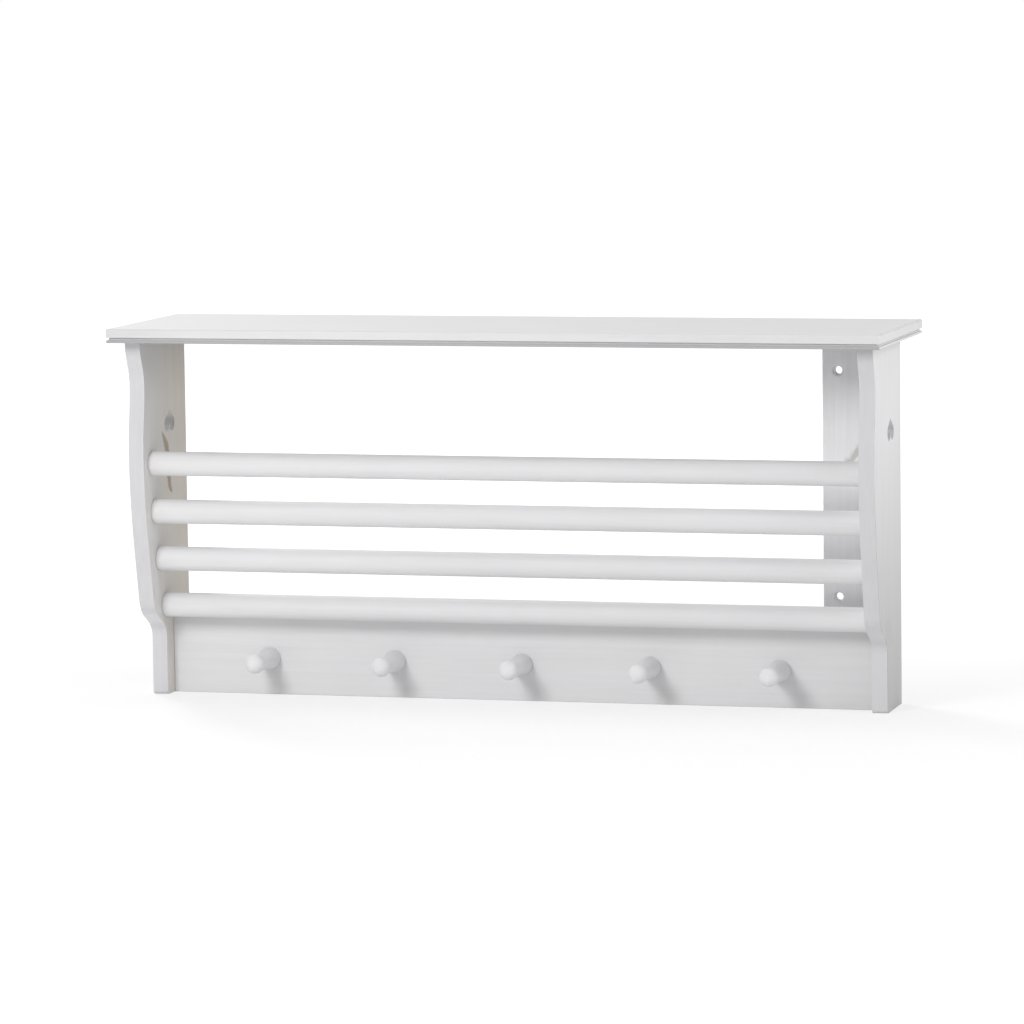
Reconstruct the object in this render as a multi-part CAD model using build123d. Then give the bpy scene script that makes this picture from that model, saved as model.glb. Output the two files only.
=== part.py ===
from build123d import *
import os

# Shaker peg rail with a shelf, standing on its two side panels or fixed to a wall.
# Lengths are in millimetres. X runs along the shelf, Y from the front to the wall
# and Z up. The origin is on the floor plane, under the middle of the shelf.
# A "setback" is a distance behind the shelf's front edge and a "drop" is a
# distance below the shelf's underside.

# Shelf board, moulded on all four edges
shelf_length = 800.0
shelf_depth = 220.0
shelf_thickness = 14.5
shelf_top_round = 2.0
quirk_height = 2.4  # the sunk cove between the fascia and the bead
quirk_depth = 3.0
cove_bow = 0.3  # how far the cove is hollowed
bead_height = 3.0  # half-round bead along the underside, in line with the fascia

# Side panels: sawn to a serpentine front, straight at the back
panel_height = 372.0
panel_thickness = 16.0
panel_inset = 12.0  # shelf's end to the outer face
panel_back_setback = 163.0
shoulder_setback = 24.0  # at the shelf's underside
throat_setback = 36.0
throat_drop = 46.0
belly_setback = 29.0
belly_drop = 116.0
apron_setback = 52.0  # where the ogee begins
apron_slope = 0.22  # run back for each millimetre down
ogee_height = 43.0
ogee_slope = 2.0
foot_setback = 90.5
foot_height = 60.0
toe_round = 4.0

# Heart cut through each side panel, tip up
heart_width = 32.0
heart_height = 22.5
heart_setback = 111.5
heart_drop = 88.0

# Rails between the panels, set further back towards the floor
rail_count = 4
rail_diameter = 25.0
rail_fit = 0.1  # gap round a rail in its socket
rail_socket_depth = 8.0
top_rail_drop = 127.5
top_rail_setback = 54.0
bottom_rail_height = 94.5
bottom_rail_setback = 88.5
rack_straightness = 0.33  # 1 is a straight rack, 0 a parabola

# Peg board between the feet
board_setback = 112.0
board_thickness = 16.0
board_height = 90.0

# Turned pegs
peg_count = 5
left_peg_margin = 105.0  # from the left-hand end of the board
right_peg_margin = 99.0
peg_row_height = 38.0
peg_reach = 50.0  # board's face to the middle of the knob
knob_diameter = 19.5
peg_base_diameter = 23.0
peg_neck_diameter = 15.0
peg_tenon_diameter = 12.0
peg_tenon_length = 12.0
peg_fit = 0.1

# Stile for the wall screws, beside the right-hand panel
stile_width = 62.0
stile_thickness = 10.0
stile_length = 296.0
screw_hole_diameter = 8.0
screw_sink_diameter = 12.0  # countersunk for the screws' heads
screw_sink_depth = 2.0
screw_hole_margin = 16.0  # from the free edge
screw_hole_drop = 33.0
screw_hole_spacing = 230.0

# Dowels that hold the joints
dowel_diameter = 6.0
dowel_length = 30.0
dowel_fit = 0.05
dowel_end_gap = 0.5
shelf_dowel_bite = 9.0  # depth in the shelf
panel_dowel_bite = 8.0  # depth in a side panel's face
shelf_dowel_margin = 25.0  # from the panel's front and back
board_dowel_margin = 20.0  # from the board's edges
stile_dowel_margin = 40.0  # from the stile's ends

# Places that several pieces share
front_y = -shelf_depth / 2
panel_outer_x = shelf_length / 2 - panel_inset
panel_inner_x = panel_outer_x - panel_thickness
panel_back_y = front_y + panel_back_setback
board_front_y = front_y + board_setback
board_middle_y = board_front_y + board_thickness / 2
stile_free_x = panel_inner_x - stile_width
stile_front_y = panel_back_y - stile_thickness
stile_middle_y = (panel_back_y + stile_front_y) / 2
rail_length = 2 * (panel_inner_x + rail_socket_depth)


def rail_points():
    """Where the axes of the rails lie, as (Y, Z), from the top rail down."""
    top_z = panel_height - top_rail_drop
    points = []
    for rail in range(rail_count):
        share = rail / (rail_count - 1)
        sweep = rack_straightness * share + (1 - rack_straightness) * share**2
        setback = top_rail_setback + (bottom_rail_setback - top_rail_setback) * sweep
        height = top_z + (bottom_rail_height - top_z) * share
        points.append((front_y + setback, height))
    return points


def peg_places():
    """Where the pegs stand along the board, evenly spaced."""
    first = left_peg_margin - panel_inner_x
    last = panel_inner_x - right_peg_margin
    pitch = (last - first) / (peg_count - 1)
    return [first + peg * pitch for peg in range(peg_count)]


def shelf_dowel_points():
    """Where the shelf's dowels stand over a panel's top edge, as Y."""
    first = front_y + shoulder_setback + shelf_dowel_margin
    return [first, panel_back_y - shelf_dowel_margin]


def board_dowel_heights():
    """Heights of the dowels in each end of the peg board."""
    return [board_dowel_margin, board_height - board_dowel_margin]


def stile_dowel_heights():
    """Heights of the dowels between the stile and the right-hand panel."""
    stile_foot = panel_height - stile_length
    return [stile_foot + stile_dowel_margin, panel_height - stile_dowel_margin]


def moulded_section(width):
    """The shelf's section across one pair of moulded edges."""
    half = width / 2
    quirk = half - quirk_depth
    soffit = bead_height + quirk_height
    bead_radius = bead_height / 2
    inward = half - bead_radius
    underside = Line((0, 0), (inward, 0))
    bead = ThreePointArc((inward, 0), (half, bead_radius), (inward, bead_height))
    cove = SagittaArc((inward, bead_height), (quirk, soffit), -cove_bow)
    step = Line((quirk, soffit), (half, soffit))
    fascia = Line((half, soffit), (half, shelf_thickness - shelf_top_round))
    crown = (half - shelf_top_round, shelf_thickness)
    nosing = JernArc(fascia @ 1, fascia % 1, shelf_top_round, 90)
    top = Line(crown, (0, shelf_thickness))
    side = underside + bead + cove + step + fascia + nosing + top
    return make_face(side + mirror(side, Plane.YZ))


def shelf_board():
    """Where the two moulded lengths cross, the moulding turns in a mitre."""
    along = extrude(Plane.YZ * moulded_section(shelf_depth), shelf_length / 2, both=True)
    across = extrude(Plane.XZ * moulded_section(shelf_length), shelf_depth / 2, both=True)
    board = Pos(0, 0, panel_height) * (along & across)
    for side in (-1, 1):
        board -= shelf_dowel_holes(side)
    return board


def dowel_hole(depth):
    """A blind hole down from the origin."""
    radius = dowel_diameter / 2 + dowel_fit
    return Cylinder(radius, depth, align=(Align.CENTER, Align.CENTER, Align.MAX))


def shelf_dowel_holes(side):
    """Holes that run up into the shelf and down into the panel under it."""
    x = side * (panel_outer_x - panel_thickness / 2)
    depth = dowel_length + 2 * dowel_end_gap
    top = panel_height + shelf_dowel_bite + dowel_end_gap
    return [Pos(x, y, top) * dowel_hole(depth) for y in shelf_dowel_points()]


def side_dowel_holes(side, y, heights):
    """Holes that run across a panel's inner face into the piece beside it."""
    x = side * (panel_inner_x + panel_dowel_bite + dowel_end_gap)
    depth = dowel_length + 2 * dowel_end_gap
    turn = Rot(0, side * 90, 0)
    return [Pos(x, y, z) * turn * dowel_hole(depth) for z in heights]


def panel_outline():
    """A panel seen from the side, in (Y, Z)."""
    foot_y = front_y + foot_setback
    apron_z = foot_height + ogee_height
    apron = Vector(front_y + apron_setback, apron_z)
    foot = Vector(foot_y, foot_height)
    shoulder = Vector(front_y + shoulder_setback, panel_height)
    throat = Vector(front_y + throat_setback, panel_height - throat_drop)
    belly = Vector(front_y + belly_setback, panel_height - belly_drop)
    down = Vector(0, -1)
    front = Spline(
        [shoulder, throat, belly, apron, (apron + foot) / 2, foot],
        tangents=[down, down, down, (apron_slope, -1), (ogee_slope, -1), down],
    )
    toe = FilletPolyline([foot, (foot_y, 0), (panel_back_y, 0)], radius=toe_round)
    back = Line((panel_back_y, 0), (panel_back_y, panel_height))
    top = Line((panel_back_y, panel_height), shoulder)
    return make_face(front + toe + back + top)


def heart():
    """Two round lobes below, drawn up to a tip by straight sides."""
    lobe_radius = heart_width / 4
    lobe_middle = Vector(lobe_radius, lobe_radius - heart_height / 2)
    tip = Vector(0, heart_height / 2)
    rim = CenterArc(lobe_middle, lobe_radius, 0, 360)
    flanks = ConstrainedLines(rim, tip)
    contact = tuple(flanks.vertices().sort_by(Axis.X)[-1])
    cleft = Vector(0, lobe_middle.Y)
    wedge = make_face(Polyline(tip, contact, lobe_middle, cleft, close=True))
    half = wedge + Pos(lobe_middle) * Circle(lobe_radius)
    return half + mirror(half, Plane.YZ)


def side_panel(side):
    """side is -1 for the left panel and 1 for the right one."""
    inner = side * panel_inner_x
    panel = Pos(inner, 0, 0) * extrude(Plane.YZ * panel_outline(), side * panel_thickness)
    heart_place = Pos(0, front_y + heart_setback, panel_height - heart_drop)
    panel -= heart_place * extrude(Plane.YZ * heart(), side * shelf_length / 2)
    for y, z in rail_points():
        socket = Cylinder(rail_diameter / 2 + rail_fit, rail_length)
        panel -= Pos(0, y, z) * Rot(0, 90, 0) * socket
    panel -= shelf_dowel_holes(side)
    panel -= side_dowel_holes(side, board_middle_y, board_dowel_heights())
    if side > 0:
        panel -= side_dowel_holes(side, stile_middle_y, stile_dowel_heights())
    return panel


def rail(place):
    y, z = place
    return Pos(0, y, z) * Rot(0, 90, 0) * Cylinder(rail_diameter / 2, rail_length)


def peg_board():
    board = Pos(0, board_middle_y, 0) * Box(
        2 * panel_inner_x,
        board_thickness,
        board_height,
        align=(Align.CENTER, Align.CENTER, Align.MIN),
    )
    for x in peg_places():
        bore = Cylinder(
            peg_tenon_diameter / 2 + peg_fit,
            peg_tenon_length + peg_fit,
            align=(Align.CENTER, Align.CENTER, Align.MAX),
        )
        board -= Pos(x, board_front_y, peg_row_height) * Rot(90, 0, 0) * bore
    for side in (-1, 1):
        board -= side_dowel_holes(side, board_middle_y, board_dowel_heights())
    return board


def peg():
    """A turned peg along Z: tenon, flared base, neck and round knob, one profile."""
    knob_radius = knob_diameter / 2
    base = Vector(peg_base_diameter / 2, 0)
    neck_radius = peg_neck_diameter / 2
    neck = Vector(neck_radius, peg_reach - (knob_radius**2 - neck_radius**2) ** 0.5)
    tip = Vector(0, peg_reach + knob_radius)
    tenon_radius = peg_tenon_diameter / 2
    tenon = Polyline((0, 0), (0, -peg_tenon_length), (tenon_radius, -peg_tenon_length),
                     (tenon_radius, 0), base)
    waist = (base + neck) / 2
    flare = TangentArc(base, waist, tangent=(0, 1))
    throat = TangentArc(neck, waist, tangent=(0, -1))
    knob = ThreePointArc(neck, (knob_radius, peg_reach), tip)
    profile = make_face(tenon + flare + throat + knob + Line(tip, (0, 0)))
    return revolve(Plane.XZ * profile, Axis.Z)


def peg_row():
    """All the pegs, each a solid of its own, with their tenons in the board."""
    turned = Rot(90, 0, 0) * peg()
    return Compound([Pos(x, board_front_y, peg_row_height) * turned for x in peg_places()])


def wall_stile():
    stile = Pos(stile_free_x, panel_back_y, panel_height) * Box(
        stile_width,
        stile_thickness,
        stile_length,
        align=(Align.MIN, Align.MAX, Align.MAX),
    )
    at_top = (Align.CENTER, Align.CENTER, Align.MAX)
    hole_radius = screw_hole_diameter / 2
    hole = Cylinder(hole_radius, stile_thickness, align=at_top)
    sink = Cone(hole_radius, screw_sink_diameter / 2, screw_sink_depth, align=at_top)
    for drop in (screw_hole_drop, screw_hole_drop + screw_hole_spacing):
        place = Pos(stile_free_x + screw_hole_margin, stile_front_y, panel_height - drop)
        stile -= place * Rot(90, 0, 0) * (hole + sink)
    stile -= side_dowel_holes(1, stile_middle_y, stile_dowel_heights())
    return stile


def dowel():
    return Cylinder(
        dowel_diameter / 2,
        dowel_length,
        align=(Align.CENTER, Align.CENTER, Align.MAX),
    )


def shelf_dowels(side):
    """Upright dowels between the shelf and one panel."""
    x = side * (panel_outer_x - panel_thickness / 2)
    top = panel_height + shelf_dowel_bite
    return Compound([Pos(x, y, top) * dowel() for y in shelf_dowel_points()])


def side_dowels(side, y, heights):
    """Level dowels between one panel and the piece beside it."""
    x = side * (panel_inner_x + panel_dowel_bite)
    turn = Rot(0, side * 90, 0)
    return Compound([Pos(x, y, z) * turn * dowel() for z in heights])


nodes = {
    "shelf_board": shelf_board(),
    "side_panel_left": side_panel(-1),
    "side_panel_right": side_panel(1),
    "peg_board": peg_board(),
    "pegs": peg_row(),
    "wall_stile": wall_stile(),
    "shelf_dowels_left": shelf_dowels(-1),
    "shelf_dowels_right": shelf_dowels(1),
    "board_dowels_left": side_dowels(-1, board_middle_y, board_dowel_heights()),
    "board_dowels_right": side_dowels(1, board_middle_y, board_dowel_heights()),
    "stile_dowels": side_dowels(1, stile_middle_y, stile_dowel_heights()),
}
for number, place in enumerate(rail_points(), start=1):
    nodes[f"rail_{number}"] = rail(place)

os.makedirs("parts", exist_ok=True)
for name, part in nodes.items():
    export_step(part, f"parts/{name}.step")
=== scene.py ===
# %% [markdown]
# # A painted peg rail with a shelf
#
# A joiner's solid model gives every part of this peg rail its size and place. This
# lesson dresses that model: it gives the moulded shelf its rounded edges, saws the
# side panels to their curve, turns the pegs and the rails, and paints everything.
#
# The solid model is loaded first and never changed. Each new piece stands for one or
# more of its solids, so it has to lie exactly where they are.

# %% Load the solid model
import math
import bmesh
import bpy
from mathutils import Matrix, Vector


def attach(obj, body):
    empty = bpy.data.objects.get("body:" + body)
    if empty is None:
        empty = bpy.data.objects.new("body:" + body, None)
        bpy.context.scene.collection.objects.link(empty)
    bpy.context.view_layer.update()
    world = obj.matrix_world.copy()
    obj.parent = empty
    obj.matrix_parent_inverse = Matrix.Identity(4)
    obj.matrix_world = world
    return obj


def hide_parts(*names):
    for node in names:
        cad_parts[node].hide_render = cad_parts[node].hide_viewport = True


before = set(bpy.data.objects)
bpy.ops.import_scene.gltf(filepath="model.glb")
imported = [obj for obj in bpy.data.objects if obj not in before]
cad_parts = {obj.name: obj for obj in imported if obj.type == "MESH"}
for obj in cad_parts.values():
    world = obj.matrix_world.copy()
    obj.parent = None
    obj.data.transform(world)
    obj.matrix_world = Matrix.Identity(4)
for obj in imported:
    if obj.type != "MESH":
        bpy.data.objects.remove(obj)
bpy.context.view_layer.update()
scene = bpy.context.scene
mm = 0.001

# %% [markdown]
# ## The camera
#
# A long lens, far away, keeps the long shelf from looking stretched. The camera
# stands to the right of the piece and a little above the shelf, so that the top, the
# front and the right-hand side all show. A small sideways shift of the lens places
# the piece in the frame without turning the camera.

# %% Set up the camera
camera_data = bpy.data.cameras.new("camera")
camera_data.sensor_width = 36
camera_data.lens = 180.4
camera_data.shift_x = -0.047
camera_data.clip_end = 200
camera = bpy.data.objects.new("camera", camera_data)
camera.location = (1.382, -5.011, 0.7642)
camera.rotation_euler = [math.radians(turn) for turn in (83.739, 0.669, 14.854)]
scene.collection.objects.link(camera)
scene.camera = camera
print("camera is", round((camera.location - Vector((0, 0, 0.19))).length, 2), "m away")

# %% [markdown]
# ## Helpers for node trees
#
# Paint, floor and several of the wooden parts are made with nodes.


# %% Helpers for node trees
def add(tree, kind, **settings):
    """A new node with its properties set."""
    node = tree.nodes.new(kind)
    for name, value in settings.items():
        setattr(node, name, value)
    return node


def wire(tree, source, output, target, entry):
    """Links an output of one node to an input of another, by name or number."""
    tree.links.new(source.outputs[output], target.inputs[entry])


def chain(tree, *nodes):
    """Links the first output of each node to the first input of the next."""
    for node, following in zip(nodes, nodes[1:]):
        wire(tree, node, 0, following, 0)


def sockets(tree, way, kind, *names):
    """Declares inputs or outputs of one kind on a tree, in this order."""
    for name in names:
        tree.interface.new_socket(name, in_out=way, socket_type="NodeSocket" + kind)


def reckon(tree, operation, first, second):
    """A Math node. Each entry is (node, output), or a plain number."""
    node = add(tree, "ShaderNodeMath", operation=operation)
    for number, entry in enumerate((first, second)):
        if isinstance(entry, tuple):
            wire(tree, *entry, node, number)
        else:
            node.inputs[number].default_value = entry
    return node


def ramp(tree, source, low, high, start, end):
    """Eases from start to end while the source, (node, output), goes from low to high."""
    node = add(tree, "ShaderNodeMapRange", interpolation_type="SMOOTHSTEP")
    node.inputs["From Min"].default_value = low
    node.inputs["From Max"].default_value = high
    node.inputs["To Min"].default_value = start
    node.inputs["To Max"].default_value = end
    wire(tree, *source, node, "Value")
    return node, 0


def fading(tree, source, span):
    """A mask that fades from 1 to 0 while the source crosses the span."""
    return ramp(tree, source, *span, 1, 0)


def growing(tree, source, span):
    """A mask that grows from 0 to 1 while the source crosses the span."""
    return ramp(tree, source, *span, 0, 1)


def grey(level):
    """A neutral colour."""
    return level, level, level


def new_material(name):
    """A material with an empty node tree, and its output node."""
    material = bpy.data.materials.new(name)
    material.use_nodes = True
    material.node_tree.nodes.clear()
    return material, add(material.node_tree, "ShaderNodeOutputMaterial")


# %% [markdown]
# ## The studio
#
# A white piece on a white ground needs light that comes mainly from one side. The key
# lamp stands in front, a little to the left and not very high, so that the pegs throw
# short shadows on their board. A weaker lamp on the right and a small one close to the
# right-hand end light the outside of that panel, most of all below the shelf. One
# behind on the left skims over the shelf, and an even white sky fills the shadows.
# Mirrored rays and the camera see that sky at full white.

# %% Light the studio
key_lamp = {"aim": (0, 0, 0.2), "distance": 2.2, "size": 0.62}
far_lamp = {"aim": (0, 0, 0.2), "distance": 3.2, "size": 0.9}
near_lamp = {"aim": (0.39, 0, 0.33), "distance": 0.52, "size": 0.2}


def soft_lamp(name, bearing, height, power, stand):
    """A square lamp that faces the piece. Bearing 0 is straight in front, right is plus."""
    lamp = bpy.data.lights.new(name, "AREA")
    lamp.size = stand["size"]
    lamp.energy = power
    turn = math.radians(bearing)
    rise = math.radians(height)
    level = math.cos(rise)
    away = Vector((math.sin(turn) * level, -math.cos(turn) * level, math.sin(rise)))
    holder = bpy.data.objects.new(name, lamp)
    holder.location = Vector(stand["aim"]) + away * stand["distance"]
    holder.rotation_euler = away.to_track_quat("Z", "Y").to_euler()
    holder.visible_camera = False
    scene.collection.objects.link(holder)


soft_lamp("key lamp", bearing=-17, height=25, power=19, stand=key_lamp)
soft_lamp("side lamp", bearing=80, height=35, power=12.5, stand=far_lamp)
soft_lamp("shelf lamp", bearing=-135, height=28, power=52, stand=far_lamp)
soft_lamp("end lamp", bearing=79, height=10, power=0.75, stand=near_lamp)

sky = bpy.data.worlds.new("studio sky")
sky.use_nodes = True
scene.world = sky
sky_tree = sky.node_tree
sky_tree.nodes.clear()
sky_output = add(sky_tree, "ShaderNodeOutputWorld")
sky_choice = add(sky_tree, "ShaderNodeMixShader")
sky_rays = add(sky_tree, "ShaderNodeLightPath")
sky_mirrored = add(sky_tree, "ShaderNodeMath", operation="MAXIMUM")
sky_fill = add(sky_tree, "ShaderNodeBackground")
sky_fill.inputs["Color"].default_value = (*grey(1), 1)
sky_fill.inputs["Strength"].default_value = 0.51
sky_seen = add(sky_tree, "ShaderNodeBackground")
sky_seen.inputs["Color"].default_value = (*grey(1), 1)
sky_seen.inputs["Strength"].default_value = 1.0
wire(sky_tree, sky_rays, "Is Camera Ray", sky_mirrored, 0)
wire(sky_tree, sky_rays, "Is Glossy Ray", sky_mirrored, 1)
wire(sky_tree, sky_mirrored, 0, sky_choice, 0)
wire(sky_tree, sky_fill, 0, sky_choice, 1)
wire(sky_tree, sky_seen, 0, sky_choice, 2)
wire(sky_tree, sky_choice, 0, sky_output, 0)

scene.view_settings.view_transform = "Standard"

# %% [markdown]
# ## The floor
#
# The floor has to look white while it still shows the shadow. To the piece it is a
# plain pale surface that throws light back up. The camera sees a darker surface with a
# glow of its own instead, so a shadow takes only a part of its white. The glow grows
# with the distance from the feet, because the lamps don't reach far and the piece
# shades the floor close by.

# %% Lay the floor
footprint = (0.388, 0.06, 0)
floor_paint, floor_output = new_material("studio floor")
floor_tree = floor_paint.node_tree
floor_pale = add(floor_tree, "ShaderNodeBsdfDiffuse")
floor_pale.inputs["Color"].default_value = (*grey(0.88), 1)
floor_seen = add(floor_tree, "ShaderNodeBsdfDiffuse")
floor_seen.inputs["Color"].default_value = (*grey(0.3), 1)
floor_glow = add(floor_tree, "ShaderNodeEmission")
floor_place = add(floor_tree, "ShaderNodeTexCoord")
floor_fold = add(floor_tree, "ShaderNodeVectorMath", operation="ABSOLUTE")
floor_past = add(floor_tree, "ShaderNodeVectorMath", operation="SUBTRACT")
floor_past.inputs[1].default_value = footprint
floor_clear = add(floor_tree, "ShaderNodeVectorMath", operation="MAXIMUM")
floor_reach = add(floor_tree, "ShaderNodeVectorMath", operation="LENGTH")
floor_level = add(floor_tree, "ShaderNodeMapRange")
floor_level.inputs["From Max"].default_value = 1.7
floor_level.inputs["To Min"].default_value = 0.66
floor_level.inputs["To Max"].default_value = 1.0
floor_sum = add(floor_tree, "ShaderNodeAddShader")
floor_choice = add(floor_tree, "ShaderNodeMixShader")
floor_rays = add(floor_tree, "ShaderNodeLightPath")
wire(floor_tree, floor_place, "Object", floor_fold, 0)
chain(floor_tree, floor_fold, floor_past, floor_clear, floor_reach)
wire(floor_tree, floor_reach, "Value", floor_level, "Value")
wire(floor_tree, floor_level, 0, floor_glow, "Strength")
wire(floor_tree, floor_seen, 0, floor_sum, 0)
wire(floor_tree, floor_glow, 0, floor_sum, 1)
wire(floor_tree, floor_rays, "Is Camera Ray", floor_choice, 0)
wire(floor_tree, floor_pale, 0, floor_choice, 1)
wire(floor_tree, floor_sum, 0, floor_choice, 2)
wire(floor_tree, floor_choice, 0, floor_output, "Surface")

floor_mesh = bpy.data.meshes.new("studio_floor")
floor_half = 60.0
floor_corners = [(-1, -1), (1, -1), (1, 1), (-1, 1)]
floor_points = [(x * floor_half, y * floor_half, 0) for x, y in floor_corners]
floor_mesh.from_pydata(floor_points, [], [(0, 1, 2, 3)])
floor_mesh.materials.append(floor_paint)
floor = bpy.data.objects.new("studio_floor", floor_mesh)
scene.collection.objects.link(floor)

# %% [markdown]
# ## White paint over wood
#
# The piece is painted with a brush, in a dull white. Close up, such paint is never
# flat: the bristles leave fine lines along the grain, the wood's own figure shows
# through faintly, and the gloss varies with the thickness of the coat.
#
# All of that is made from noise that is stretched along the grain. The pattern is
# read from Object coordinates, so it has the same scale on every piece. Each part has
# its own tone, set to how bright it should look: this paints light and shade into the
# colour, most of all on the stile, which is made much paler to lift it out of the
# shade of the shelf and the rails.

# %% Mix the paint
thin_coat = (0.739, 0.740, 0.755)
full_coat = (0.788, 0.788, 0.796)
wood_below = (0.62, 0.60, 0.57)


def brushed_paint(name, grain, tone):
    """Dull paint, brushed along the axis named by grain. A higher tone is paler."""
    material, output = new_material(name)
    tree = material.node_tree
    place = add(tree, "ShaderNodeTexCoord")
    stretch = add(tree, "ShaderNodeMapping")
    stretch.inputs["Scale"].default_value = [0.03 if axis == grain else 1 for axis in "XYZ"]
    wire(tree, place, "Object", stretch, "Vector")

    bristles = add(tree, "ShaderNodeTexNoise")
    bristles.inputs["Scale"].default_value = 900
    bristles.inputs["Detail"].default_value = 3
    wire(tree, stretch, 0, bristles, "Vector")

    figure = add(tree, "ShaderNodeTexNoise")
    figure.inputs["Scale"].default_value = 200
    figure.inputs["Detail"].default_value = 4
    figure.inputs["Distortion"].default_value = 0.6
    wire(tree, stretch, 0, figure, "Vector")

    cloud = add(tree, "ShaderNodeTexNoise")
    cloud.inputs["Scale"].default_value = 9
    cloud.inputs["Detail"].default_value = 2
    wire(tree, place, "Object", cloud, "Vector")

    tint = add(tree, "ShaderNodeMix", data_type="RGBA")
    tint.inputs["A"].default_value = [tone * level for level in thin_coat] + [1]
    tint.inputs["B"].default_value = [tone * level for level in full_coat] + [1]
    wire(tree, cloud, "Fac", tint, "Factor")

    shade = add(tree, "ShaderNodeMapRange")
    shade.inputs["From Min"].default_value = 0.35
    shade.inputs["From Max"].default_value = 0.75
    shade.inputs["To Min"].default_value = 0.0
    shade.inputs["To Max"].default_value = 0.20
    wire(tree, figure, "Fac", shade, "Value")

    grained = add(tree, "ShaderNodeMix", data_type="RGBA")
    grained.inputs["B"].default_value = (*wood_below, 1)
    wire(tree, shade, 0, grained, "Factor")
    wire(tree, tint, "Result", grained, "A")

    gloss = add(tree, "ShaderNodeMapRange")
    gloss.inputs["To Min"].default_value = 0.62
    gloss.inputs["To Max"].default_value = 0.76
    wire(tree, cloud, "Fac", gloss, "Value")

    relief = add(tree, "ShaderNodeMath", operation="ADD")
    wire(tree, bristles, "Fac", relief, 0)
    wire(tree, figure, "Fac", relief, 1)
    ripple = add(tree, "ShaderNodeBump")
    ripple.inputs["Strength"].default_value = 0.35
    ripple.inputs["Distance"].default_value = 0.0001
    wire(tree, relief, 0, ripple, "Height")

    coat = add(tree, "ShaderNodeBsdfPrincipled", name="coat")
    coat.inputs["Specular IOR Level"].default_value = 0.2
    wire(tree, grained, "Result", coat, "Base Color")
    wire(tree, gloss, 0, coat, "Roughness")
    wire(tree, ripple, 0, coat, "Normal")
    wire(tree, coat, 0, output, "Surface")
    return material


# Each tone paints light or shade into its part; the stile's lifts it out of its shade.
shelf_paint = brushed_paint("white paint on the shelf", "X", 0.97)
board_paint = brushed_paint("white paint on the peg board", "X", 1.0)
rail_paint = brushed_paint("white paint on the rails", "X", 1.0)
left_paint = brushed_paint("white paint on the left panel", "Z", 1.04)
right_paint = brushed_paint("white paint on the right panel", "Z", 1.0)
stile_paint = brushed_paint("white paint on the stile", "Z", 1.15)
peg_paint = brushed_paint("white paint on the pegs", "Y", 1.05)
print("paints:", [paint.name for paint in bpy.data.materials if "paint on" in paint.name])

# %% [markdown]
# ## Marks of age, and painted shade
#
# Old white paint tells what lies under it and what touched it: knots stain it, and it
# wears through on an edge. Some marks here are painted shade instead. The hollow of the
# moulding is painted darker, for the shade under its tall face, and so is the right-hand
# end of the peg board, where the light falls off. The left-hand end of the shelf's front
# is darker. Whatever faces the front on the panels is painted darker, and so are the
# lower parts of the right-hand panel and the stile. The inside of the left-hand panel is
# tinted warmer towards the wall and painted darker under the shelf.
#
# Each mark is one layer that multiplies the paint by a darker colour. Its mask is a
# number from 0 to 1, reckoned from the place on the piece and from the way the surface
# faces there. A span says where a mask begins and ends: a length in metres, or how far
# the surface has turned away, where 1 is straight towards the end of an axis.


# %% Helpers for marks
def lay_over(paint, colour, *masks):
    """Multiplies the paint by a colour where all the masks are 1."""
    tree = paint.node_tree
    coat = tree.nodes["coat"]
    below = coat.inputs["Base Color"].links[0].from_socket
    mask = masks[0]
    for other in masks[1:]:
        mask = (reckon(tree, "MULTIPLY", mask, other), 0)
    layer = add(tree, "ShaderNodeMix", data_type="RGBA", blend_type="MULTIPLY")
    layer.inputs["B"].default_value = (*colour, 1)
    wire(tree, *mask, layer, "Factor")
    tree.links.new(below, layer.inputs["A"])
    wire(tree, layer, "Result", coat, "Base Color")


def survey(paint):
    """The tree, the place on the piece and the way its surface faces, in X, Y and Z."""
    tree = paint.node_tree
    place = add(tree, "ShaderNodeTexCoord")
    spot = add(tree, "ShaderNodeSeparateXYZ")
    wire(tree, place, "Object", spot, 0)
    surface = add(tree, "ShaderNodeNewGeometry")
    facing = add(tree, "ShaderNodeSeparateXYZ")
    wire(tree, surface, "Normal", facing, 0)
    return tree, spot, facing


# %% Painted shade in the moulding, and darker ends
faces_front = (-0.8, -0.4)
faces_end = (0.3, 0.7)
hollow_top = (0.3768, 0.3778)
bead_top = (0.3745, 0.3755)
shelf_dark_left = (-0.38, -0.29)
board_shaded_right = (0.24, 0.37)

tree, spot, facing = survey(shelf_paint)
long_edge = fading(tree, (facing, "X"), faces_end)
hollow = fading(tree, (spot, "Z"), hollow_top)
bead = fading(tree, (spot, "Z"), bead_top)
# Painted shade: the hollow and the bead under the tall face are darker along the long edges, not
# on the ends.
lay_over(shelf_paint, grey(0.82), hollow, long_edge)
lay_over(shelf_paint, grey(0.76), bead, long_edge)
# The left-hand end of the shelf's front is made darker.
to_front = fading(tree, (facing, "Y"), faces_front)
left_end = fading(tree, (spot, "X"), shelf_dark_left)
lay_over(shelf_paint, grey(0.91), to_front, left_end)

# Painted shade: the peg board darkens towards its right-hand end, where the light falls off.
tree, spot = survey(board_paint)[:2]
right_end = growing(tree, (spot, "X"), board_shaded_right)
lay_over(board_paint, grey(0.93), right_end)
print("shelf: dust in the hollow, more on the bead, a handled end; board: a duller end")

# %% [markdown]
# ## Knots that bleed
#
# A knot's resin works its way through paint and leaves a brown streak along the grain.
# The group below draws one. It finds how far each point of the surface lies from a
# line, after the place was shifted a little by noise, and fades the mark over its
# width. The streak is widest halfway and tapers to both ends.

# %% Build the knot group
wander = 0.012
thin_end = 0.35
swelling = 2.6
dark_core = 0.25

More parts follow.
